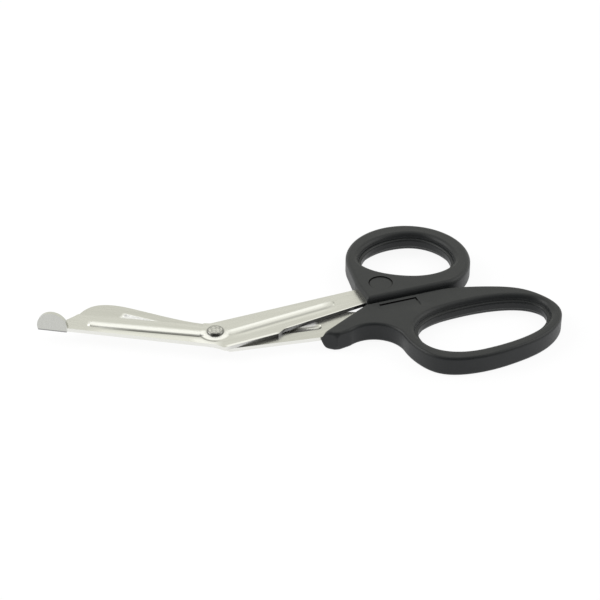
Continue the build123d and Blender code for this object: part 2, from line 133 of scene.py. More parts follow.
def stretched(tree, turn, scale, centre=(0, 0, 0)):
    """Object coordinates about a centre, turned in plan by some degrees, then scaled."""
    place = node(tree, "ShaderNodeTexCoord").outputs["Object"]
    turned = node(tree, "ShaderNodeVectorRotate", Vector=vector_maths(tree, "SUBTRACT", place, centre)[0],
                  Angle=-math.radians(turn))
    turned.rotation_type = "Z_AXIS"
    return node(tree, "ShaderNodeMapping", Vector=turned.outputs[0], Scale=scale).outputs[0]


def facing(tree):
    """The three parts of the solid's own normal."""
    return parts_of(tree, node(tree, "ShaderNodeTexCoord").outputs["Normal"])


def new_material(name):
    """A material with one Principled BSDF."""
    made = bpy.data.materials.new(name)
    made.use_nodes = True
    return made, made.node_tree, made.node_tree.nodes["Principled BSDF"]


# %% [markdown]
# ## Masks that are drawn in millimetres
# Painted highlights and shades lie in strips and patches on the metal, and so does the foot's own brushing.
# Such a place could be painted in a picture, but a picture would be stretched by every change of shape.
# Here a mask is worked out from the distance along and across a line on the metal, so it can be read as a
# drawing.

# %% Masks
BLADE_TURN = -10.7          # the blades' direction in plan, degrees
GRIP_TURN = 20.5            # the tangs' and handles' direction
TOP_FROM, TOP_FULL = 0.25, 0.45     # a normal's upward part where a face begins to count as top, and does


def rising(tree, value, start, end):
    """Nought before the start and one past the end, in millimetres."""
    return spread(tree, value, 0, 1, start * MM, end * MM)


def falling(tree, value, start, end):
    """One before the start and nought past the end, in millimetres."""
    return spread(tree, value, 1, 0, start * MM, end * MM)


def both(tree, *masks):
    """The product of masks and shares."""
    result = masks[0]
    for mask in masks[1:]:
        result = maths(tree, "MULTIPLY", result, mask)
    return result


def band(tree, value, low, high, soft):
    """One where a value lies between low and high, in millimetres, with soft ends."""
    return both(tree, rising(tree, value, low - soft, low + soft),
                falling(tree, value, high - soft, high + soft))


def patch(tree, line, across, along):
    """One on a patch beside a line: each pair of limits comes with the softness of its ends."""
    return both(tree, band(tree, line[1], *across), band(tree, line[0], *along))


def beside_line(tree, turn, first, second):
    """Places along and across the line between two points, which lie along and across a direction."""
    angle = math.radians(turn)
    start = Vector((first[0] * math.cos(angle) - first[1] * math.sin(angle),
                    first[0] * math.sin(angle) + first[1] * math.cos(angle), 0))
    slope = turn + math.degrees(math.atan2(second[1] - first[1], second[0] - first[0]))
    return parts_of(tree, stretched(tree, slope, (1, 1, 1), pivot + start * MM))[:2]


def from_pivot(tree):
    """Plan coordinates about the rivet, and the distance from it."""
    place = stretched(tree, 0, (1, 1, 0), pivot)
    return parts_of(tree, place)[:2], vector_maths(tree, "LENGTH", place)["Value"]


def upward(tree):
    """One on the faces that look up."""
    return spread(tree, facing(tree)[2], 0, 1, TOP_FROM, TOP_FULL)


# %% [markdown]
# ## Brushed stainless steel
# Stamped halves are tumbled and belt-brushed along their length, first the blade, then the tang. The
# brushing is long, thin noise that turns with the metal at the rivet. It changes the roughness a little
# and tilts the surface by a hair.

# %% Brushed metal
WARM = (0.64, 0.64, 0.60)
SHADED = (0.60, 0.60, 0.56)         # painted shade: the lower half's copy of the steel, a shade darker
STEEL_ROUGHNESS = (0.22, 0.36)
FINE_LINES = (300, 12000, 12000)    # waves in a metre along the brushing, across it and upward
BROAD_LINES = (45, 800, 800)
BROAD_RANGE = (0.35, 0.7)           # of the broad noise, from the dullest to the plain tone
DULL_SHARE = 0.94                   # of the tone, where the brushing is dullest
FROSTED_METAL = 0.25                # how metallic a frosted spot still is
BRUSH_DEPTH = 0.02 * MM
BRUSH_STRENGTH = 0.12


def brushing(tree, turn):
    """Fine and broad brushing lines along a plan direction, about the rivet."""
    fine = grain(tree, stretched(tree, turn, FINE_LINES, pivot), detail=4.0, roughness=0.65)
    broad = grain(tree, stretched(tree, turn, BROAD_LINES, pivot), detail=2.0, roughness=0.5)
    return fine, broad


def brushed_steel(name, tone, layers, frost=None):
    """Steel brushed along blade and tang, under layers of (mask, colour), frosted where a mask says."""
    made, tree, shader = new_material(name)
    along = parts_of(tree, stretched(tree, (BLADE_TURN + GRIP_TURN) / 2, (1, 1, 1), pivot))[0]
    on_tang = rising(tree, along, -2, 2)
    fine, broad = [mix_values(tree, on_tang, on_blade, on_grip_side) for on_blade, on_grip_side
                   in zip(brushing(tree, BLADE_TURN), brushing(tree, GRIP_TURN))]
    uneven = spread(tree, broad, 0, 1, *BROAD_RANGE)
    colour = blend_colours(tree, uneven, tuple(DULL_SHARE * part for part in tone), tone)
    for mask, layer_tone in layers(tree):
        colour = blend_colours(tree, mask, colour, layer_tone)
    tree.links.new(colour, shader.inputs["Base Color"])
    tree.links.new(spread(tree, fine, *STEEL_ROUGHNESS, *NOISE_RANGE), shader.inputs["Roughness"])
    bump = node(tree, "ShaderNodeBump", Height=fine, Strength=BRUSH_STRENGTH, Distance=BRUSH_DEPTH)
    tree.links.new(bump.outputs[0], shader.inputs["Normal"])
    shader.inputs["Metallic"].default_value = 1.0
    if frost:
        tree.links.new(mix_values(tree, frost(tree), 1.0, FROSTED_METAL), shader.inputs["Metallic"])
    return made


# %% [markdown]
# ## Painted light on the steel
# The pressed beads stand proud; each gets a painted highlight on its crown and a thin line of painted shade
# in its near root. The boss round the rivet gets a painted highlight on its near slope. The near cut walls
# and a strip along the back get painted light, and the tang's near wall painted shade. Each of these is a
# colour laid over the plain steel by a mask. In the lists below, a strip's limits across and along its line
# are millimetres, and the third number is how soft its ends are.

# %% Tones
# painted highlight on bead crowns, the boss's near slope, the heel, edge lines and hollows
PAINTED_HIGHLIGHT = (0.97, 0.97, 0.95)
# painted light on a strip along the blade's bead and a band below the tang's bead
PAINTED_LIGHT_BAND = (0.90, 0.90, 0.86)
# painted light on the near cut walls, as a painted reflection of the pale table
PAINTED_WALL_LIGHT = (0.82, 0.82, 0.78)
# painted shade on root lines, the tang's near wall, the foot's rim and the hollow's dark line
PAINTED_SHADE = (0.16, 0.16, 0.17)
# painted deep shade in the near roots of bead and boss, and under the rivet's head
PAINTED_DEEP_SHADE = (0.07, 0.07, 0.065)
FOOT_GREY = (0.60, 0.605, 0.57)
WALL_UP = (0.3, 0.6)        # a normal's upward part, over which a wall stops being one
WALL_DOWN = (-0.6, -0.3)
WALL_NEAR = (-0.5, -0.2)    # its part towards the far side, over which a near wall stops being one


def near_walls(tree, where):
    """The cut walls on the near side."""
    normal = facing(tree)
    return both(tree, spread(tree, normal[2], 1, 0, *WALL_UP), spread(tree, normal[2], 0, 1, *WALL_DOWN),
                spread(tree, normal[1], 1, 0, *WALL_NEAR), where)


# %% The guard blade's bead
BLADE_BEAD = ((-44.5, -3.5), (-4.2, -2.1))      # its ends, along and across the blade
BLADE_CROWN = ((-9, 1.8, 0.5), (-0.9, 41.5, 0.9))
CROWN_FOOT = (-1.8, -0.9)           # across the bead, where the crown begins
CROWN_LIFT = 0.7 * MM               # how much further up it begins at the bead's tip
CROWN_LIFT_FADE = (-1, 4)
BLADE_ROOT = (-2.05, -1.35, 0.22)
BLADE_ROOT_START = (2, 16)
BLADE_ROOT_END = (39.5, 40.3)
BLADE_ROOT_SHARE = 0.85
BLADE_STRIP = ((-8.0, -2.6, 0.9), (2, 44, 3))
BLADE_STRIP_SHARE = 0.62


def blade_bead_layers(tree, top):
    """Painted highlight on the blade bead's crown, painted shade in its near root and painted light on a
    strip along it.
    """
    line = beside_line(tree, BLADE_TURN, *BLADE_BEAD)
    along, across = line
    lift = both(tree, falling(tree, along, *CROWN_LIFT_FADE), CROWN_LIFT)
    lower = maths(tree, "SUBTRACT", across, lift)
    crown = both(tree, patch(tree, line, *BLADE_CROWN), rising(tree, lower, *CROWN_FOOT), top)
    root = both(tree, band(tree, across, *BLADE_ROOT), rising(tree, along, *BLADE_ROOT_START),
                falling(tree, along, *BLADE_ROOT_END), top, BLADE_ROOT_SHARE)
    strip = both(tree, patch(tree, line, *BLADE_STRIP), top, BLADE_STRIP_SHARE)
    return [(strip, PAINTED_LIGHT_BAND), (crown, PAINTED_HIGHLIGHT), (root, PAINTED_DEEP_SHADE)]


# %% The boss round the rivet
BOSS_EDGE = (4.9, 5.5)              # radii between which the slope ends
BOSS_NEAR_SIDE = (-2.6, -0.4)
BOSS_ROOT = (5.35, 5.95, 0.2)
BOSS_ROOT_NEAR = (-2.4, -1.6)
BOSS_ROOT_END = (0.2, 1.8)
BOSS_ROOT_SHARE = 0.6
UNDER_HEAD = (3.0, 3.4)
UNDER_HEAD_SHARE = 0.6
HEEL_BAND = (6.2, 9.2, 0.8)
HEEL_NEAR = (-5.2, -3.4)
HEEL_END = (-0.5, 3)
HEEL_SHARE = 0.75


def boss_layers(tree, top):
    """Painted highlight on the boss's near slope and round the heel, painted shade round its near root and
    under the head.
    """
    (x, y), radius = from_pivot(tree)
    slope = both(tree, falling(tree, radius, *BOSS_EDGE), falling(tree, y, *BOSS_NEAR_SIDE), top)
    root = both(tree, band(tree, radius, *BOSS_ROOT), falling(tree, y, *BOSS_ROOT_NEAR),
                falling(tree, x, *BOSS_ROOT_END), top, BOSS_ROOT_SHARE)
    under_head = both(tree, falling(tree, radius, *UNDER_HEAD), top, UNDER_HEAD_SHARE)
    heel = both(tree, band(tree, radius, *HEEL_BAND), falling(tree, y, *HEEL_NEAR),
                falling(tree, x, *HEEL_END), top, HEEL_SHARE)
    return [(heel, PAINTED_HIGHLIGHT), (slope, PAINTED_HIGHLIGHT), (root, PAINTED_DEEP_SHADE), (under_head, PAINTED_DEEP_SHADE)]


# %% The guard tang's bead and near edge
TANG_BEAD = ((4.6, -2.1), (44.5, 2.5))          # its ends, along and across the grip
TANG_CROWN = ((-0.9, 1.4, 0.8), (-1.2, 38.9, 2.2))
TANG_ROOT = ((-2.0, -1.5, 0.35), (3, 39.5, 2))
TANG_ROOT_SHARE = 0.42
TANG_LIGHT = ((-3.3, -2.6, 0.5), (2, 39.5, 3))
TANG_LIGHT_SHARE = 0.5
HEEL, STEP, WAIST, FRONT = (0, -10.2), (20.6, -8.7), (23.4, -6.7), (56.6, -1.4)
NEAR_EDGES = ((HEEL, STEP, 1.0), (WAIST, FRONT, 0.45))      # the last number is the width of the painted highlight line
NEAR_EDGE_SHARE = 0.85
EDGE_OUTSIDE = -1           # the painted highlight line's limits across the edge and along it, and how soft they are
EDGE_START = 1
EDGE_SOFT_ACROSS = 0.25
EDGE_SOFT_ALONG = 0.6


def tang_bead_layers(tree, top):
    """The tang's bead: a softer painted highlight on its crown, faint painted shade in its root and painted
    light below it.
    """
    line = beside_line(tree, GRIP_TURN, *TANG_BEAD)
    crown = both(tree, patch(tree, line, *TANG_CROWN), top)
    root = both(tree, patch(tree, line, *TANG_ROOT), top, TANG_ROOT_SHARE)
    light = both(tree, patch(tree, line, *TANG_LIGHT), top, TANG_LIGHT_SHARE)
    return [(light, PAINTED_LIGHT_BAND), (crown, PAINTED_HIGHLIGHT), (root, PAINTED_SHADE)]


def near_edge_layers(tree, top):
    """A painted highlight line along the tang's near edge, before its step and after it."""
    layers = []
    for first, second, width in NEAR_EDGES:
        mask = patch(tree, beside_line(tree, GRIP_TURN, first, second),
                     (EDGE_OUTSIDE, width, EDGE_SOFT_ACROSS),
                     (EDGE_START, math.dist(first, second), EDGE_SOFT_ALONG))
        layers.append((both(tree, mask, top, NEAR_EDGE_SHARE), PAINTED_HIGHLIGHT))
    return layers


# %% [markdown]
# ## The folded foot
# The foot is brushed by itself, upright, after it has been folded. Its rim gets painted shade low on the
# right side and at the bottom, where it meets the table.

# %% The foot
FOOT_END = (-52.6, -52.0)   # along the blade, over which foot turns to blade, millimetres
FOOT_SIDE = (-5.9, -5.6)    # and across it
FOOT_LINES = (8000, 8000, 260)
FOOT_DULL_SHARE = 0.9
RIM_FACING = (0.5, 0.8)     # a normal's part to the right, from where a face belongs to the right rim
# how much painted shade the right rim takes, low down and high up
RIM_DARKNESS = (0.85, 0.12)
RIM_FADE = (1.6 * MM, 3.4 * MM)     # heights above the pivot over which the painted shade on the rim fades
# painted shade at the bottom of the foot, where it meets the table
BOTTOM_FADE = (-0.12, 0.12)
BOTTOM_DARKNESS = 0.75


def foot_layers(tree, on_foot):
    """Upright brushing on the foot, and painted shade on its rim low on the right and at the bottom."""
    upright = grain(tree, stretched(tree, BLADE_TURN, FOOT_LINES, pivot), detail=3.0, roughness=0.6)
    height = parts_of(tree, stretched(tree, BLADE_TURN, (1, 1, 1), pivot))[2]
    tone = blend_colours(tree, spread(tree, upright, 0, 1, *NOISE_RANGE),
                         tuple(FOOT_DULL_SHARE * part for part in FOOT_GREY), FOOT_GREY)
    rim = both(tree, spread(tree, facing(tree)[0], 0, 1, *RIM_FACING),
               spread(tree, height, *RIM_DARKNESS, *RIM_FADE), on_foot)
    bottom = both(tree, falling(tree, height, *BOTTOM_FADE), on_foot, BOTTOM_DARKNESS)
    return [(on_foot, tone), (rim, PAINTED_SHADE), (bottom, PAINTED_SHADE)]


# %% All layers of the guard half
WALL_SHADE_START = (0.5, 3)         # along the grip, where the painted shade on the tang's near wall begins
WALL_SHADE_FULL = (4 * MM, 21 * MM)
WALL_SHADE_SHARE = 0.25             # how dark it is at the start


def guard_layers(tree):
    """All that changes the plain brushed tone of the guard half."""
    along, across, _ = parts_of(tree, stretched(tree, BLADE_TURN, (1, 1, 1), pivot))
    on_foot = both(tree, falling(tree, along, *FOOT_END), falling(tree, across, *FOOT_SIDE))
    off_foot = maths(tree, "SUBTRACT", 1.0, on_foot)
    top = both(tree, upward(tree), off_foot)
    grip_side = parts_of(tree, stretched(tree, GRIP_TURN, (1, 1, 1), pivot))[0]
    darker = both(tree, rising(tree, grip_side, *WALL_SHADE_START),
                  spread(tree, grip_side, WALL_SHADE_SHARE, 1, *WALL_SHADE_FULL))
    # painted light on the near walls, and painted shade on the tang's near wall towards the handles
    return [(near_walls(tree, off_foot), PAINTED_WALL_LIGHT), (near_walls(tree, darker), PAINTED_SHADE),
            *blade_bead_layers(tree, top), *tang_bead_layers(tree, top), *near_edge_layers(tree, top),
            *boss_layers(tree, top), *foot_layers(tree, on_foot)]


# %% [markdown]
# ## The humped half's hollows
# The humped half lies the other way up, so its beads show their hollow backs. The hollows get painted
# highlights, and a part of each is frosted: less of a mirror, so its painted highlight shows in light from
# all round. The tang's hollow has a painted highlight on its far slope, a painted shade line beside it and
# a narrow painted highlight on its near slope. The near walls get painted light.

# %% Layers of the humped half
HUMP_BEAD = ((-34.2, 5.45), (-8.6, 0.1))            # along and across the blade
HUMP_TANG_BEAD = ((4.6, -3.6), (35.4, -7.6))        # along and across the grip
BLADE_HOLLOW = ((-1.3, 1.9, 0.3), (-1.6, 30, 0.7))
BLADE_FROST = ((-1.3, 1.6, 0.3), (-1.2, 30, 0.7))
NEAR_SLOPE = ((-1.2, 0.5, 0.2), (-1, 31.6, 0.6))
DARK_LINE = ((0.6, 1.1, 0.2), (2, 31.2, 0.8))
SLOPE_SHARE = 0.7
FAR_SLOPE = ((1.2, 4.2, 0.25), (2, 31.4, 0.7))


def hump_layers(tree):
    """Painted highlights in the hollows, a painted shade line, and painted light on the near walls."""
    top = upward(tree)
    blade = both(tree, patch(tree, beside_line(tree, BLADE_TURN, *HUMP_BEAD), *BLADE_HOLLOW), top)
    line = beside_line(tree, GRIP_TURN, *HUMP_TANG_BEAD)
    near = both(tree, patch(tree, line, *NEAR_SLOPE), top, SLOPE_SHARE)
    dark = both(tree, patch(tree, line, *DARK_LINE), top, SLOPE_SHARE)
    far = both(tree, patch(tree, line, *FAR_SLOPE), top)
    return [(near_walls(tree, 1.0), PAINTED_WALL_LIGHT), (far, PAINTED_HIGHLIGHT), (dark, PAINTED_SHADE), (blade, PAINTED_HIGHLIGHT),
            (near, PAINTED_HIGHLIGHT)]


def hump_frost(tree):
    """The frosted part of each hollow, where its painted highlight is less of a mirror."""
    blade = patch(tree, beside_line(tree, BLADE_TURN, *HUMP_BEAD), *BLADE_FROST)
    tang = patch(tree, beside_line(tree, GRIP_TURN, *HUMP_TANG_BEAD), *FAR_SLOPE)
    return both(tree, maths(tree, "MAXIMUM", blade, tang), upward(tree))


# %% Mix the two steels
blade_steel = brushed_steel("blade_steel", WARM, guard_layers)
# the humped half takes the copy of the steel with painted shade
hump_steel = brushed_steel("hump_steel", SHADED, hump_layers, hump_frost)
print("steel recipes:", blade_steel.name, hump_steel.name)

# %% [markdown]
# ## Black moulded plastic
# The handles are black nylon from a spark-eroded mould: a dense, very fine grain over softly uneven walls.
# Two noises do it, one a few hundredths of a millimetre deep for the grain and one broad and faint for the
# way a thick moulding sinks as it cools. The shallow recesses in the tops are true cuts in the solids, and
# a painted shade on their walls lets them read at this size.

# %% Shade in the recesses
POCKET_LINE = ((59.9, -6.3), (74.3, -6.3))          # the pocket's far wall, along and across the grip
POCKET_FAR_WALL = ((-0.6, 0.2, 0.12), (0, 14.4, 0.2))
POCKET_END_WALL = ((-1.9, 0.2, 0.5), (13.9, 14.6, 0.12))
RING_LINE = ((65.1, 4.8), (66.1, 4.8))              # from the round recess's centre along the grip
RING_WALL = (4.0, 4.6, 0.12)
RING_SHADES = (0.35, 0.9)                           # on its near and far side
RING_FADE = (-3 * MM, 2 * MM)
RECESS_HEIGHTS = (-0.36, -0.02, 0.01)               # below the handle's top


def pocket_shade(tree):
    """Along the far wall and the end wall of the finger handle's pocket."""
    line = beside_line(tree, GRIP_TURN, *POCKET_LINE)
    return maths(tree, "MAXIMUM", patch(tree, line, *POCKET_FAR_WALL), patch(tree, line, *POCKET_END_WALL))


def ring_shade(tree):
    """Round the wall of the thumb handle's round recess, strongest on its far side."""
    along, across = beside_line(tree, GRIP_TURN, *RING_LINE)
    square = maths(tree, "ADD", maths(tree, "MULTIPLY", along, along),
                   maths(tree, "MULTIPLY", across, across))
    radius = maths(tree, "POWER", square, 0.5)
    return both(tree, band(tree, radius, *RING_WALL), spread(tree, across, *RING_SHADES, *RING_FADE))


# %% Plastic
PLASTIC_TONES = ((0.0180, 0.0200, 0.0212), (0.0220, 0.0238, 0.0248))
# painted shade on the recesses' walls
PAINTED_RECESS_SHADE = (0.004, 0.004, 0.004)
PLASTIC_ROUGHNESS = (0.36, 0.48)
PLASTIC_GLOSS = 0.32
GRAIN_WAVES = (4200, 4200, 4200)
SINK_WAVES = (120, 160, 120)
GRAIN_DEPTH, GRAIN_STRENGTH = 0.03 * MM, 0.25
SINK_DEPTH, SINK_STRENGTH = 0.1 * MM, 0.15


def moulded_plastic(name, top, shade):
    """Black satin plastic with a fine spark-eroded grain; its bare recesses hold a soft painted shade."""
    made, tree, shader = new_material(name)
    height = parts_of(tree, node(tree, "ShaderNodeTexCoord").outputs["Object"])[2]
    recess = both(tree, shade(tree), band(tree, maths(tree, "SUBTRACT", height, top), *RECESS_HEIGHTS))
    fine = grain(tree, stretched(tree, GRIP_TURN, GRAIN_WAVES), detail=2.0, roughness=0.7)
    sink = grain(tree, stretched(tree, GRIP_TURN, SINK_WAVES), detail=2.0, roughness=0.5)
    colour = blend_colours(tree, spread(tree, sink, 0, 1, *NOISE_RANGE), *PLASTIC_TONES)
    colour = blend_colours(tree, recess, colour, PAINTED_RECESS_SHADE)
    tree.links.new(colour, shader.inputs["Base Color"])
    tree.links.new(spread(tree, fine, *PLASTIC_ROUGHNESS, *NOISE_RANGE), shader.inputs["Roughness"])
    soft = node(tree, "ShaderNodeBump", Height=sink, Strength=SINK_STRENGTH, Distance=SINK_DEPTH)
    bump = node(tree, "ShaderNodeBump", Height=fine, Strength=GRAIN_STRENGTH, Distance=GRAIN_DEPTH,
                Normal=soft.outputs[0])
    tree.links.new(bump.outputs[0], shader.inputs["Normal"])
    tree.links.new(mix_values(tree, recess, PLASTIC_GLOSS, 0.0), shader.inputs["Specular IOR Level"])
    return made


def top_of(name):
    """The height of a node's top face."""
    return max(corner[2] for corner in frame["nodes"][name].bound_box)


finger_plastic = moulded_plastic("handle_plastic", top_of("finger_handle"), pocket_shade)
thumb_plastic = moulded_plastic("thumb_plastic", top_of("thumb_handle"), ring_shade)
print("plastic recipes:", finger_plastic.name, thumb_plastic.name)

# %% [markdown]
# ## Copies that stand for solids
# A CAD mesh is left as it is. Where a piece needs a finer shape, a copy of its mesh is welded, changed and
# shown in its place, while the node is hidden. These helpers do what such copies share: an object at the
# origin, its modifiers baked into a plain mesh, and normals that the large faces set, so that flats shade
# flat.

# %% Helpers for pieces
WELD = 0.002 * MM           # points of a CAD mesh that are closer than this are one


def linked(name, data):
    """An object for a mesh, lamp or camera, put into the scene."""
    made = bpy.data.objects.new(name, data)
    bpy.context.scene.collection.objects.link(made)
    return made


def applied(piece):
    """Bake a piece's modifiers into a plain mesh."""
    mesh = bpy.data.meshes.new_from_object(
        piece.evaluated_get(bpy.context.evaluated_depsgraph_get()))
    piece.modifiers.clear()
    piece.data = mesh
    return mesh


def smooth(mesh, sharp_from):
    """Shade smoothly, apart from edges that turn by more than some degrees."""
    mesh.polygons.foreach_set("use_smooth", [True] * len(mesh.polygons))
    mesh.set_sharp_from_angle(angle=math.radians(sharp_from))


def even_normals(piece):
    """Let the large faces set the normals."""
    weigh = piece.modifiers.new("normals", "WEIGHTED_NORMAL")
    weigh.keep_sharp = True
    return applied(piece)


def welded_copy(name, source):
    """A node's mesh, copied under a new name, and its welded grid for editing."""
    mesh = frame["nodes"][source].data.copy()
    mesh.name = name
    grid = bmesh.new()
    grid.from_mesh(mesh)
    bmesh.ops.remove_doubles(grid, verts=grid.verts, dist=WELD)
    return mesh, grid


def edited(mesh, grid, material):
    """Put an edited grid back into its mesh, under one material."""
    grid.to_mesh(mesh)
    grid.free()
    mesh.materials.clear()
    mesh.materials.append(material)
    return mesh


# %% [markdown]
# ## Stamped edges
# A punched and tumbled edge is never a knife: it has a radius of about a tenth of a millimetre, and that
# thin line of light is what makes sheet metal look like metal. Each half gets a copy whose sharp edges are
# bevelled. The Bevel modifier does it by angle, after flat triangles have been joined to whole faces, so
# that only real edges are found. On the humped tang one corner is moved first: the photograph shows the
# metal running on under the guard's tang, where the solid stops short.

# %% Softened copies of the sheet-metal halves
EDGE_ROUND = 0.12 * MM
FLAT_WITHIN = math.radians(0.5)
BEVEL_FROM = math.radians(28)
BEVEL_STEPS = 3
SHARP_METAL = 50            # degrees
CORNER_REACH = 0.1          # a point this near a named corner belongs to it, millimetres
TANG_CORNER, TANG_CORNER_MOVED = (44.0, -4.1), (46.5, -1.2)     # along and across the grip


def on_grip(place):
    """Millimetres along and across the grip, and above the pivot, of a point."""
    angle = math.radians(GRIP_TURN)
    x, y, z = (place - pivot) / MM
    return x * math.cos(angle) + y * math.sin(angle), y * math.cos(angle) - x * math.sin(angle), z


def from_grip(along, across, height):
    """The point at millimetres along and across the grip, and above the pivot."""
    angle = math.radians(GRIP_TURN)
    return pivot + MM * Vector((along * math.cos(angle) - across * math.sin(angle),
                                along * math.sin(angle) + across * math.cos(angle), height))


def softened(name, source, material, body, moved=()):
    """A copy of a CAD node with its sharp edges rounded, standing for that node; moved corners first."""
    mesh, grid = welded_copy(name, source)
    bmesh.ops.dissolve_limit(grid, angle_limit=FLAT_WITHIN, verts=grid.verts, edges=grid.edges)
    for old, new in moved:
        for vert in grid.verts:
            along, across, height = on_grip(vert.co)
            if math.dist((along, across), old) < CORNER_REACH:
                vert.co = from_grip(*new, height)
                print(name, "corner moved at height", round(height, 2))
    piece = linked(name, edited(mesh, grid, material))
    bevel = piece.modifiers.new("edges", "BEVEL")
    bevel.width = EDGE_ROUND
    bevel.segments = BEVEL_STEPS
    bevel.limit_method = "ANGLE"
    bevel.angle_limit = BEVEL_FROM
    smooth(applied(piece), SHARP_METAL)
    finished = even_normals(piece)
    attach(piece, body)
    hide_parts(source)
    print(name, "has", len(finished.polygons), "faces")


softened("guard_blade_sheet", "guard_blade", blade_steel, "thumb_half")
softened("humped_blade_sheet", "humped_blade", hump_steel, "finger_half",
         moved=[(TANG_CORNER, TANG_CORNER_MOVED)])

# %% [markdown]
# ## Soft nose
# Polishing a mould rounds the sharp corners of what comes out of it. The finger handle's nose is the place
# where the picture shows it most: its end is cut finer and then relaxed, full at the tip and fading to
# nothing a few millimetres behind it. The slot for the tang is held.

# %% Relax the nose
NOSE = (34.1, -14.6)        # its tip, along and across the grip, millimetres
CHIN = (38.6, -18.3)        # the corner below it
FULL_WITHIN = 1.8           # from the line between the two
FREE_BEYOND = 4.2
SLOT_FROM = (34.7, -14.9)   # the slot lies beyond this, along and across
SLOT_HEIGHTS = (-1.6, 0.2)
FINE_EDGE = 0.4 * MM
CUTS = 6
RELAXING_ROUNDS = 30
RELAXING_STEP = 0.5         # of the way to the neighbours' middle, in one round
SHARP_PLASTIC = 35          # degrees


def nose_share(place):
    """How far a point takes part: one at the nose's end, nought behind it and at the tang's slot."""
    along, across, height = on_grip(place)
    run = (CHIN[0] - NOSE[0], CHIN[1] - NOSE[1])
    part = ((along - NOSE[0]) * run[0] + (across - NOSE[1]) * run[1]) / math.hypot(*run) ** 2
    part = min(1, max(0, part))
    away = math.hypot(along - NOSE[0] - part * run[0], across - NOSE[1] - part * run[1])
    in_slot = along > SLOT_FROM[0] and across > SLOT_FROM[1] and SLOT_HEIGHTS[0] < height < SLOT_HEIGHTS[1]
    return 0 if in_slot else min(1, max(0, (FREE_BEYOND - away) / (FREE_BEYOND - FULL_WITHIN)))


def cut_finer(grid):
    """Halve the nose's long edges a few times."""
    for _ in range(CUTS):
        long = [edge for edge in grid.edges if edge.calc_length() > FINE_EDGE
                and max(nose_share(vert.co) for vert in edge.verts) > 0]
        bmesh.ops.subdivide_edges(grid, edges=long, cuts=1)
        bmesh.ops.triangulate(grid, faces=[face for face in grid.faces if len(face.verts) > 3])


def drop_twins(grid):
    """Where slivers were cut, faces lie twice on the same three points; such pairs enclose nothing."""
    twins = {}
    for face in grid.faces:
        twins.setdefault(frozenset(face.verts), []).append(face)
    folded = [face for same in twins.values() for face in same[len(same) % 2:]]
    bmesh.ops.delete(grid, geom=folded, context="FACES")


def relax(grid):
    """Draw the nose's points towards the middle of their neighbours; returns how many took part."""
    shares = {vert: nose_share(vert.co) for vert in grid.verts}
    shares = {vert: share for vert, share in shares.items() if share > 0}
    for _ in range(RELAXING_ROUNDS):
        middles = {vert: sum((edge.other_vert(vert).co for edge in vert.link_edges), Vector())
                   / len(vert.link_edges) for vert in shares}
        for vert, share in shares.items():
            vert.co = vert.co.lerp(middles[vert], RELAXING_STEP * share)
    return len(shares)


def relaxed_nose(name, source, material, body):
    """A copy of a handle with its nose cut finer and relaxed, standing for that node."""
    mesh, grid = welded_copy(name, source)
    cut_finer(grid)
    drop_twins(grid)
    relaxed = relax(grid)
    piece = linked(name, edited(mesh, grid, material))
    smooth(mesh, SHARP_PLASTIC)
    finished = even_normals(piece)
    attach(piece, body)
    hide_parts(source)
    print(name, "has", len(finished.polygons), "faces,", relaxed, "points relaxed")


relaxed_nose("finger_handle_moulding", "finger_handle", finger_plastic, "finger_half")

# %% [markdown]
# ## The thumb handle
# The thumb handle's solid needs no finer shape at this size, so it is used as it is. Only the material in
# its slot is exchanged for the plastic.

# %% Give the thumb handle its plastic
thumb_slot = frame["nodes"]["thumb_handle"].material_slots[0]
thumb_slot.material = thumb_plastic
print("thumb_handle wears", thumb_slot.material.name)

# %% [markdown]
# ## The rivet, turned from a profile
# A rivet is a turned part: its shape is one profile swung round an axis, and its head shows the rings that
# the tool left. Geometry Nodes do just that. The base mesh is the half profile, the tree subdivides it,
# presses rings into the head and sweeps it round a circle. The head's side is painted dark as shade, which
# draws a dark ring round the pivot.

# %% Steel of the rivet
WORN_TONES = ((0.36, 0.36, 0.34), (0.7, 0.7, 0.66))
WORN_RANGE = (0.4, 0.62)    # of the mottle, from the dark to the light tone
# painted shade on the side of the head
PAINTED_RIVET_SIDE = (0.20, 0.20, 0.19)
RIVET_ROUGHNESS = (0.2, 0.4)
MOTTLE_WAVES = (900, 900, 900)
HEAD_FLAT = (2.3, 2.6)      # radii between which the light top ends, millimetres
FLAT_FACING = (0.75, 0.97)  # a normal's upward part, from the side to the flat


def rivet_steel():
    """Turned steel: mottled and light on the flat of the head, with painted shade on its side."""
    made, tree, shader = new_material("rivet_steel")
    mottle = grain(tree, stretched(tree, 0, MOTTLE_WAVES, pivot), detail=3.0, roughness=0.6)
    flat = both(tree, spread(tree, facing(tree)[2], 0, 1, *FLAT_FACING),
                falling(tree, from_pivot(tree)[1], *HEAD_FLAT))
    worn = blend_colours(tree, spread(tree, mottle, 0, 1, *WORN_RANGE), *WORN_TONES)
    tree.links.new(blend_colours(tree, flat, PAINTED_RIVET_SIDE, worn), shader.inputs["Base Color"])
    tree.links.new(spread(tree, mottle, *RIVET_ROUGHNESS, *NOISE_RANGE), shader.inputs["Roughness"])
    shader.inputs["Metallic"].default_value = 1.0
    return made


# %% The tree that turns a profile
RIVET_WELD = 0.001 * MM
SHARP_RIVET = 35            # degrees


def add_inputs(group, sizes):
    """Give a node group its geometry sockets and named sizes; returns the sizes' identifiers."""
    group.interface.new_socket("Geometry", in_out="OUTPUT", socket_type="NodeSocketGeometry")
    group.interface.new_socket("Geometry", in_out="INPUT", socket_type="NodeSocketGeometry")
    made = {}
    for name, value in sizes.items():
        kind = "NodeSocketInt" if isinstance(value, int) else "NodeSocketFloat"
        made[name] = group.interface.new_socket(name, in_out="INPUT", socket_type=kind).identifier
    return made


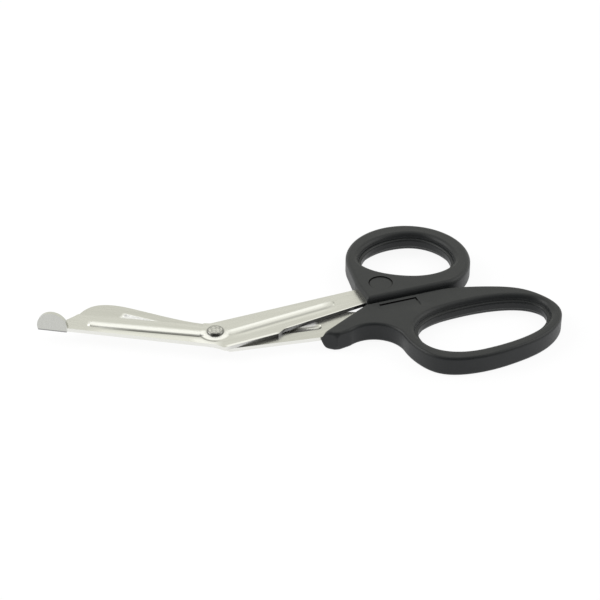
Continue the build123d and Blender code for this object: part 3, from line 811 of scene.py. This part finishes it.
def ring_dip(group, given, place):
    """How deep the turning tool went at a place on the profile, as an offset along its Y."""
    radius = maths(group, "ADD", place["X"], given["Path radius"])
    wave = maths(group, "COSINE", maths(
        group, "MULTIPLY", maths(group, "DIVIDE", radius, given["Ring pitch"]), 2 * math.pi))
    dip = maths(group, "MULTIPLY", maths(group, "SUBTRACT", wave, 1.0),
                maths(group, "MULTIPLY", given["Ring depth"], 0.5))
    on_top = maths(group, "GREATER_THAN", place["Y"], given["Ring level"])
    inside = maths(group, "LESS_THAN", radius, given["Ring limit"])
    return node(group, "ShaderNodeCombineXYZ", Y=both(group, dip, on_top, inside)).outputs[0]


def revolving_tree(sizes, material):
    """A tree that swings a profile round the Z axis and presses rings into its top face."""
    group = bpy.data.node_groups.new("turned", "GeometryNodeTree")
    sockets = add_inputs(group, sizes)
    given = group.nodes.new("NodeGroupInput").outputs
    curve = node(group, "GeometryNodeMeshToCurve", Mesh=given["Geometry"])
    finer = node(group, "GeometryNodeSubdivideCurve", Curve=curve.outputs["Curve"], Cuts=given["Cuts"])
    place = parts_of(group, node(group, "GeometryNodeInputPosition").outputs[0])
    ringed = node(group, "GeometryNodeSetPosition", Geometry=finer.outputs["Curve"],
                  Offset=ring_dip(group, given, place))
    circle = node(group, "GeometryNodeCurvePrimitiveCircle", Resolution=given["Turns"],
                  Radius=given["Path radius"])
    sweep = node(group, "GeometryNodeCurveToMesh", Curve=circle.outputs["Curve"],
                 Profile_Curve=ringed.outputs["Geometry"])
    welded = node(group, "GeometryNodeMergeByDistance", Geometry=sweep.outputs["Mesh"],
                  Distance=RIVET_WELD)
    real = node(group, "GeometryNodeRealizeInstances", Geometry=welded.outputs["Geometry"])
    paint = node(group, "GeometryNodeSetMaterial", Geometry=real.outputs["Geometry"], Material=material)
    out = group.nodes.new("NodeGroupOutput")
    group.links.new(paint.outputs["Geometry"], out.inputs[0])
    return group, sockets


def grown(name, mesh, group, sockets, sizes):
    """Run a tree on a base mesh and keep the result as a plain mesh."""
    piece = linked(name, mesh)
    modifier = piece.modifiers.new("tree", "NODES")
    modifier.node_group = group
    for size_name, value in sizes.items():
        modifier[sockets[size_name]] = value
    result = applied(piece)
    grid = bmesh.new()
    grid.from_mesh(result)
    bmesh.ops.recalc_face_normals(grid, faces=grid.faces)
    grid.to_mesh(result)
    grid.free()
    smooth(result, SHARP_RIVET)
    return piece


# %% Turn the rivet
HEAD_RADIUS = 2.9 * MM
HEAD_BASE = 1.75 * MM       # heights above the pivot point
HEAD_TOP = 2.55 * MM
TAIL_RADIUS = 2.6 * MM
TAIL_BASE = -1.73 * MM
TAIL_TOP = -2.43 * MM
SHANK_RADIUS = 1.9 * MM
EDGE_BREAK = 0.25 * MM
RING_MARGIN = 0.1 * MM      # from the rings to the head's broken edge
TOP_MARGIN = 0.01 * MM      # what lies this little below the top still counts as top
RIVET_SIZES = {"Turns": 96, "Cuts": 40, "Path radius": HEAD_RADIUS, "Ring pitch": 0.42 * MM,
               "Ring depth": 0.02 * MM, "Ring level": HEAD_TOP - TOP_MARGIN,
               "Ring limit": HEAD_RADIUS - EDGE_BREAK - RING_MARGIN}


def rivet_profile():
    """The half profile as a chain of edges; X is the distance from the head's radius, Y the height."""
    corners = [(0, TAIL_TOP), (TAIL_RADIUS - EDGE_BREAK, TAIL_TOP), (TAIL_RADIUS, TAIL_TOP + EDGE_BREAK),
               (TAIL_RADIUS, TAIL_BASE), (SHANK_RADIUS, TAIL_BASE), (SHANK_RADIUS, HEAD_BASE),
               (HEAD_RADIUS, HEAD_BASE), (HEAD_RADIUS, HEAD_TOP - EDGE_BREAK),
               (HEAD_RADIUS - EDGE_BREAK, HEAD_TOP), (0, HEAD_TOP)]
    mesh = bpy.data.meshes.new("rivet_profile")
    mesh.from_pydata([(radius - HEAD_RADIUS, height, 0) for radius, height in corners],
                     [(i, i + 1) for i in range(len(corners) - 1)], [])
    return mesh


turning, turning_sockets = revolving_tree(RIVET_SIZES, rivet_steel())
rivet = grown("turned_rivet", rivet_profile(), turning, turning_sockets, RIVET_SIZES)
for vertex in rivet.data.vertices:      # the sweep turns the profile over, so it is turned back
    vertex.co = pivot + Vector((vertex.co.x, -vertex.co.y, -vertex.co.z))
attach(rivet, "finger_half")
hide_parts("pivot_rivet")
heights = [vertex.co.z / MM for vertex in rivet.data.vertices]
print("turned rivet:", len(rivet.data.polygons), "faces, from", min(heights), "to", max(heights), "mm")

# %% [markdown]
# ## Table
# The photograph is a product shot on pure white. The floor is a big pale sheet; a share of its colour is
# given to camera rays and mirror rays as plain light, so that it is white without more light on the object.
# The rest of it is ordinary paper, which takes the object's shadow.

# %% Floor
FLOOR_WIDTH = 6.0
PAPER = (0.9, 0.9, 0.9, 1)
PAPER_ROUGHNESS = 0.9
PAPER_GLOSS = 0.1
GLOW = 1.06
GLOW_SHARE = 0.86


def floor_paper():
    """Pale paper that is almost white to the camera and to mirrors."""
    made, tree, shader = new_material("floor_paper")
    shader.inputs["Base Color"].default_value = PAPER
    shader.inputs["Roughness"].default_value = PAPER_ROUGHNESS
    shader.inputs["Specular IOR Level"].default_value = PAPER_GLOSS
    glow = node(tree, "ShaderNodeEmission", Color=(1, 1, 1, 1), Strength=GLOW)
    path = node(tree, "ShaderNodeLightPath").outputs
    either = maths(tree, "MAXIMUM", path["Is Camera Ray"], path["Is Glossy Ray"])
    mix = node(tree, "ShaderNodeMixShader", Fac=both(tree, either, GLOW_SHARE))
    tree.links.new(shader.outputs[0], mix.inputs[1])
    tree.links.new(glow.outputs[0], mix.inputs[2])
    tree.links.new(mix.outputs[0], tree.nodes["Material Output"].inputs["Surface"])
    return made


def white_floor():
    """A large pale sheet under the object."""
    mesh = bpy.data.meshes.new("floor")
    half = FLOOR_WIDTH / 2
    mesh.from_pydata([(-half, -half, 0), (half, -half, 0), (half, half, 0), (-half, half, 0)], [],
                     [(0, 1, 2, 3)])
    mesh.materials.append(floor_paper())
    floor = linked("floor", mesh)
    return floor


floor = white_floor()
print("floor is", floor.dimensions.x, "m wide")

# %% [markdown]
# ## What the steel sees
# Polished metal shows its surroundings more than itself. A photographer puts a white tent in front of it
# and leaves the side behind the camera dark, which gives steel its light faces and dark slopes. The world
# does the same: mirror rays see such a tent, while all other light is one dim even dome.

# %% World
DOME = 0.5
TENT_AXIS = (0, 0.85, -0.53)        # about the way the camera looks
TENT_EDGE = (-0.72, -0.42)          # how far against that way the tent turns from dark to white
TENT_TONES = (0.12, 1.0)
TENT_COLOUR = (1, 1, 0.93, 1)


def chosen(tree, ray, first, second):
    """One shader, or another for a kind of ray."""
    mix = node(tree, "ShaderNodeMixShader", Fac=ray)
    tree.links.new(first, mix.inputs[1])
    tree.links.new(second, mix.inputs[2])
    return mix.outputs[0]


def studio_world():
    """A dim even dome for light; mirror rays see a white tent that ends behind the camera."""
    world = bpy.data.worlds.new("studio")
    bpy.context.scene.world = world
    world.use_nodes = True
    tree = world.node_tree
    plain = tree.nodes["Background"]
    plain.inputs["Color"].default_value = (1, 1, 1, 1)
    plain.inputs["Strength"].default_value = DOME
    direction = node(tree, "ShaderNodeTexCoord").outputs["Generated"]
    along = vector_maths(tree, "DOT_PRODUCT", direction, TENT_AXIS)["Value"]
    seen = node(tree, "ShaderNodeBackground", Color=TENT_COLOUR,
                Strength=spread(tree, along, *TENT_TONES, *TENT_EDGE))
    white = node(tree, "ShaderNodeBackground", Color=(1, 1, 1, 1), Strength=1.0)
    path = node(tree, "ShaderNodeLightPath").outputs
    lit = chosen(tree, path["Is Glossy Ray"], plain.outputs[0], seen.outputs[0])
    final = chosen(tree, path["Is Camera Ray"], lit, white.outputs[0])
    tree.links.new(final, tree.nodes["World Output"].inputs["Surface"])


studio_world()
print("world:", bpy.context.scene.world.name)

# %% [markdown]
# ## Two soft boxes
# The shadow in the photograph is faint and lies close to the object, so the lamps are broad and stand high
# on both sides. The left one is the stronger, which gives the pieces a light and a dark side.

# %% Soft boxes
LAMP_SIDE, LAMP_BACK, LAMP_HEIGHT = 0.75, 0.1, 0.6
LAMP_WIDTH = 0.6
KEY_POWER = 3.2
FILL_POWER = 1.8


def softbox(name, place, power):
    """A square area lamp at a place, aimed at the origin."""
    lamp = bpy.data.lights.new(name, "AREA")
    lamp.shape = "SQUARE"
    lamp.size = LAMP_WIDTH
    lamp.energy = power
    made = linked(name, lamp)
    made.location = place
    made.rotation_euler = (-Vector(place)).to_track_quat("-Z", "Y").to_euler()
    print(name, "lamp of", power, "W")


softbox("key", (-LAMP_SIDE, LAMP_BACK, LAMP_HEIGHT), KEY_POWER)
softbox("fill", (LAMP_SIDE, LAMP_BACK, LAMP_HEIGHT), FILL_POWER)

# %% [markdown]
# ## Camera
# The photograph was taken from the near side, 33.5 degrees above the table, with a long lens. The numbers
# come from fitting the rivet, the foot and the two holes to their places in the picture.

# %% Camera
ELEVATION = math.radians(33.5)
DISTANCE = 0.7
AIM = Vector((29.902, 20.556, 1.4))     # from the pivot, millimetres
SENSOR = 36.0                           # millimetres on the film
FOCAL_LENGTH = 115.92

lens = bpy.data.cameras.new("camera")
lens.sensor_width = SENSOR
lens.lens = FOCAL_LENGTH
camera = linked("camera", lens)
camera.location = pivot + AIM * MM + DISTANCE * Vector((0, -math.cos(ELEVATION), math.sin(ELEVATION)))
camera.rotation_euler = (math.pi / 2 - ELEVATION, 0, 0)
bpy.context.scene.camera = camera
bpy.context.scene.view_settings.view_transform = "Standard"
print("camera at", [round(v, 4) for v in camera.location])
